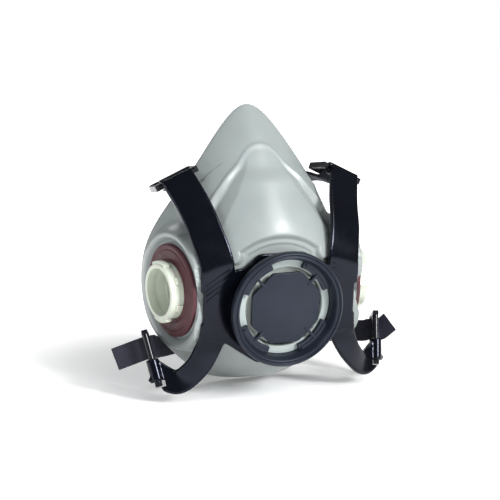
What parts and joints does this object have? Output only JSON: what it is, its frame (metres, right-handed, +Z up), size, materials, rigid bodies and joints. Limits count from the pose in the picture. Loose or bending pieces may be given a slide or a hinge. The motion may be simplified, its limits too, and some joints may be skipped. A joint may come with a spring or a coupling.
{
  "type": "painters respirator mask",
  "caption": "Reusable half-mask respirator: soft grey facepiece, black harness yoke, front exhalation valve with cover, side filter ports, buckles and straps.",
  "frame": {"origin": "middle of the opening that seals on the wearer's face", "axes": "+Y out of the opening towards the face, +Z up to the nose, +X to the right of someone who looks at the mask's front, along its longest side"},
  "size_m": [0.1414, 0.0987, 0.1325],
  "materials": {
    "facepiece_rubber": "satin light grey silicone",
    "yoke_plastic": "glossy near-black moulding",
    "cover_plastic": "satin dark slate moulding",
    "valve_seat_plastic": "satin pale grey-green moulding",
    "port_plastic": "satin off-white moulding",
    "valve_silicone": "soft pale silicone",
    "gasket_rubber": "matt maroon rubber",
    "buckle_plastic": "glossy black moulding",
    "strap_webbing": "woven navy elastic webbing"
  },
  "bodies": {
    "root": {"facepiece": "facepiece_rubber", "yoke": "yoke_plastic", "exhalation_valve_seat": "valve_seat_plastic", "exhalation_clamp_ring": "port_plastic", "left_inhalation_port": "port_plastic", "right_inhalation_port": "port_plastic", "left_port_gasket": "gasket_rubber", "right_port_gasket": "gasket_rubber", "left_retaining_ring": "port_plastic", "right_retaining_ring": "port_plastic", "head_strap": "strap_webbing", "neck_strap": "strap_webbing"},
    "exhalation_diaphragm": {"exhalation_diaphragm": "valve_silicone"},
    "exhalation_cover": {"exhalation_cover": "cover_plastic"},
    "left_inhalation_valve": {"left_inhalation_valve": "valve_silicone"},
    "right_inhalation_valve": {"right_inhalation_valve": "valve_silicone"},
    "left_upper_buckle": {"left_upper_buckle": "buckle_plastic"},
    "right_upper_buckle": {"right_upper_buckle": "buckle_plastic"},
    "left_lower_buckle": {"left_lower_buckle": "buckle_plastic", "left_strap_tail": "strap_webbing"},
    "right_lower_buckle": {"right_lower_buckle": "buckle_plastic", "right_strap_tail": "strap_webbing"}
  },
  "joints": [
    {"name": "exhalation_diaphragm_lift", "type": "slide", "parent": "root", "child": "exhalation_diaphragm", "axis": [0, -0.9928, -0.1201], "range_m": [0, 0.0016], "stiffness_N_per_m": 30},
    {"name": "exhalation_cover_pull", "type": "slide", "parent": "root", "child": "exhalation_cover", "axis": [0, -0.9928, -0.1201], "range_m": [0, 0.02]},
    {"name": "left_inhalation_valve_lift", "type": "slide", "parent": "root", "child": "left_inhalation_valve", "axis": [0.9812, 0.1907, 0.0279], "range_m": [0, 0.0012], "stiffness_N_per_m": 20},
    {"name": "right_inhalation_valve_lift", "type": "slide", "parent": "root", "child": "right_inhalation_valve", "axis": [-0.9812, 0.1907, 0.0279], "range_m": [0, 0.0012], "stiffness_N_per_m": 20},
    {"name": "left_upper_buckle_swing", "type": "hinge", "parent": "root", "child": "left_upper_buckle", "pos_m": [-0.0413, -0.0262, 0.0376], "axis": [-0.9054, 0.0402, -0.4225], "range_deg": [-40, 8], "deforming": ["head_strap"]},
    {"name": "right_upper_buckle_swing", "type": "hinge", "parent": "root", "child": "right_upper_buckle", "pos_m": [0.0413, -0.0262, 0.0376], "axis": [-0.9054, -0.0402, 0.4225], "range_deg": [-40, 8], "deforming": ["head_strap"]},
    {"name": "left_lower_buckle_swing", "type": "hinge", "parent": "root", "child": "left_lower_buckle", "pos_m": [-0.0568, -0.0355, -0.0425], "axis": [-0.156, 0.3461, 0.9251], "range_deg": [-8, 35], "deforming": ["neck_strap"]},
    {"name": "right_lower_buckle_swing", "type": "hinge", "parent": "root", "child": "right_lower_buckle", "pos_m": [0.0568, -0.0355, -0.0425], "axis": [-0.156, -0.3461, -0.9251], "range_deg": [-35, 12], "deforming": ["neck_strap"]}
  ]
}
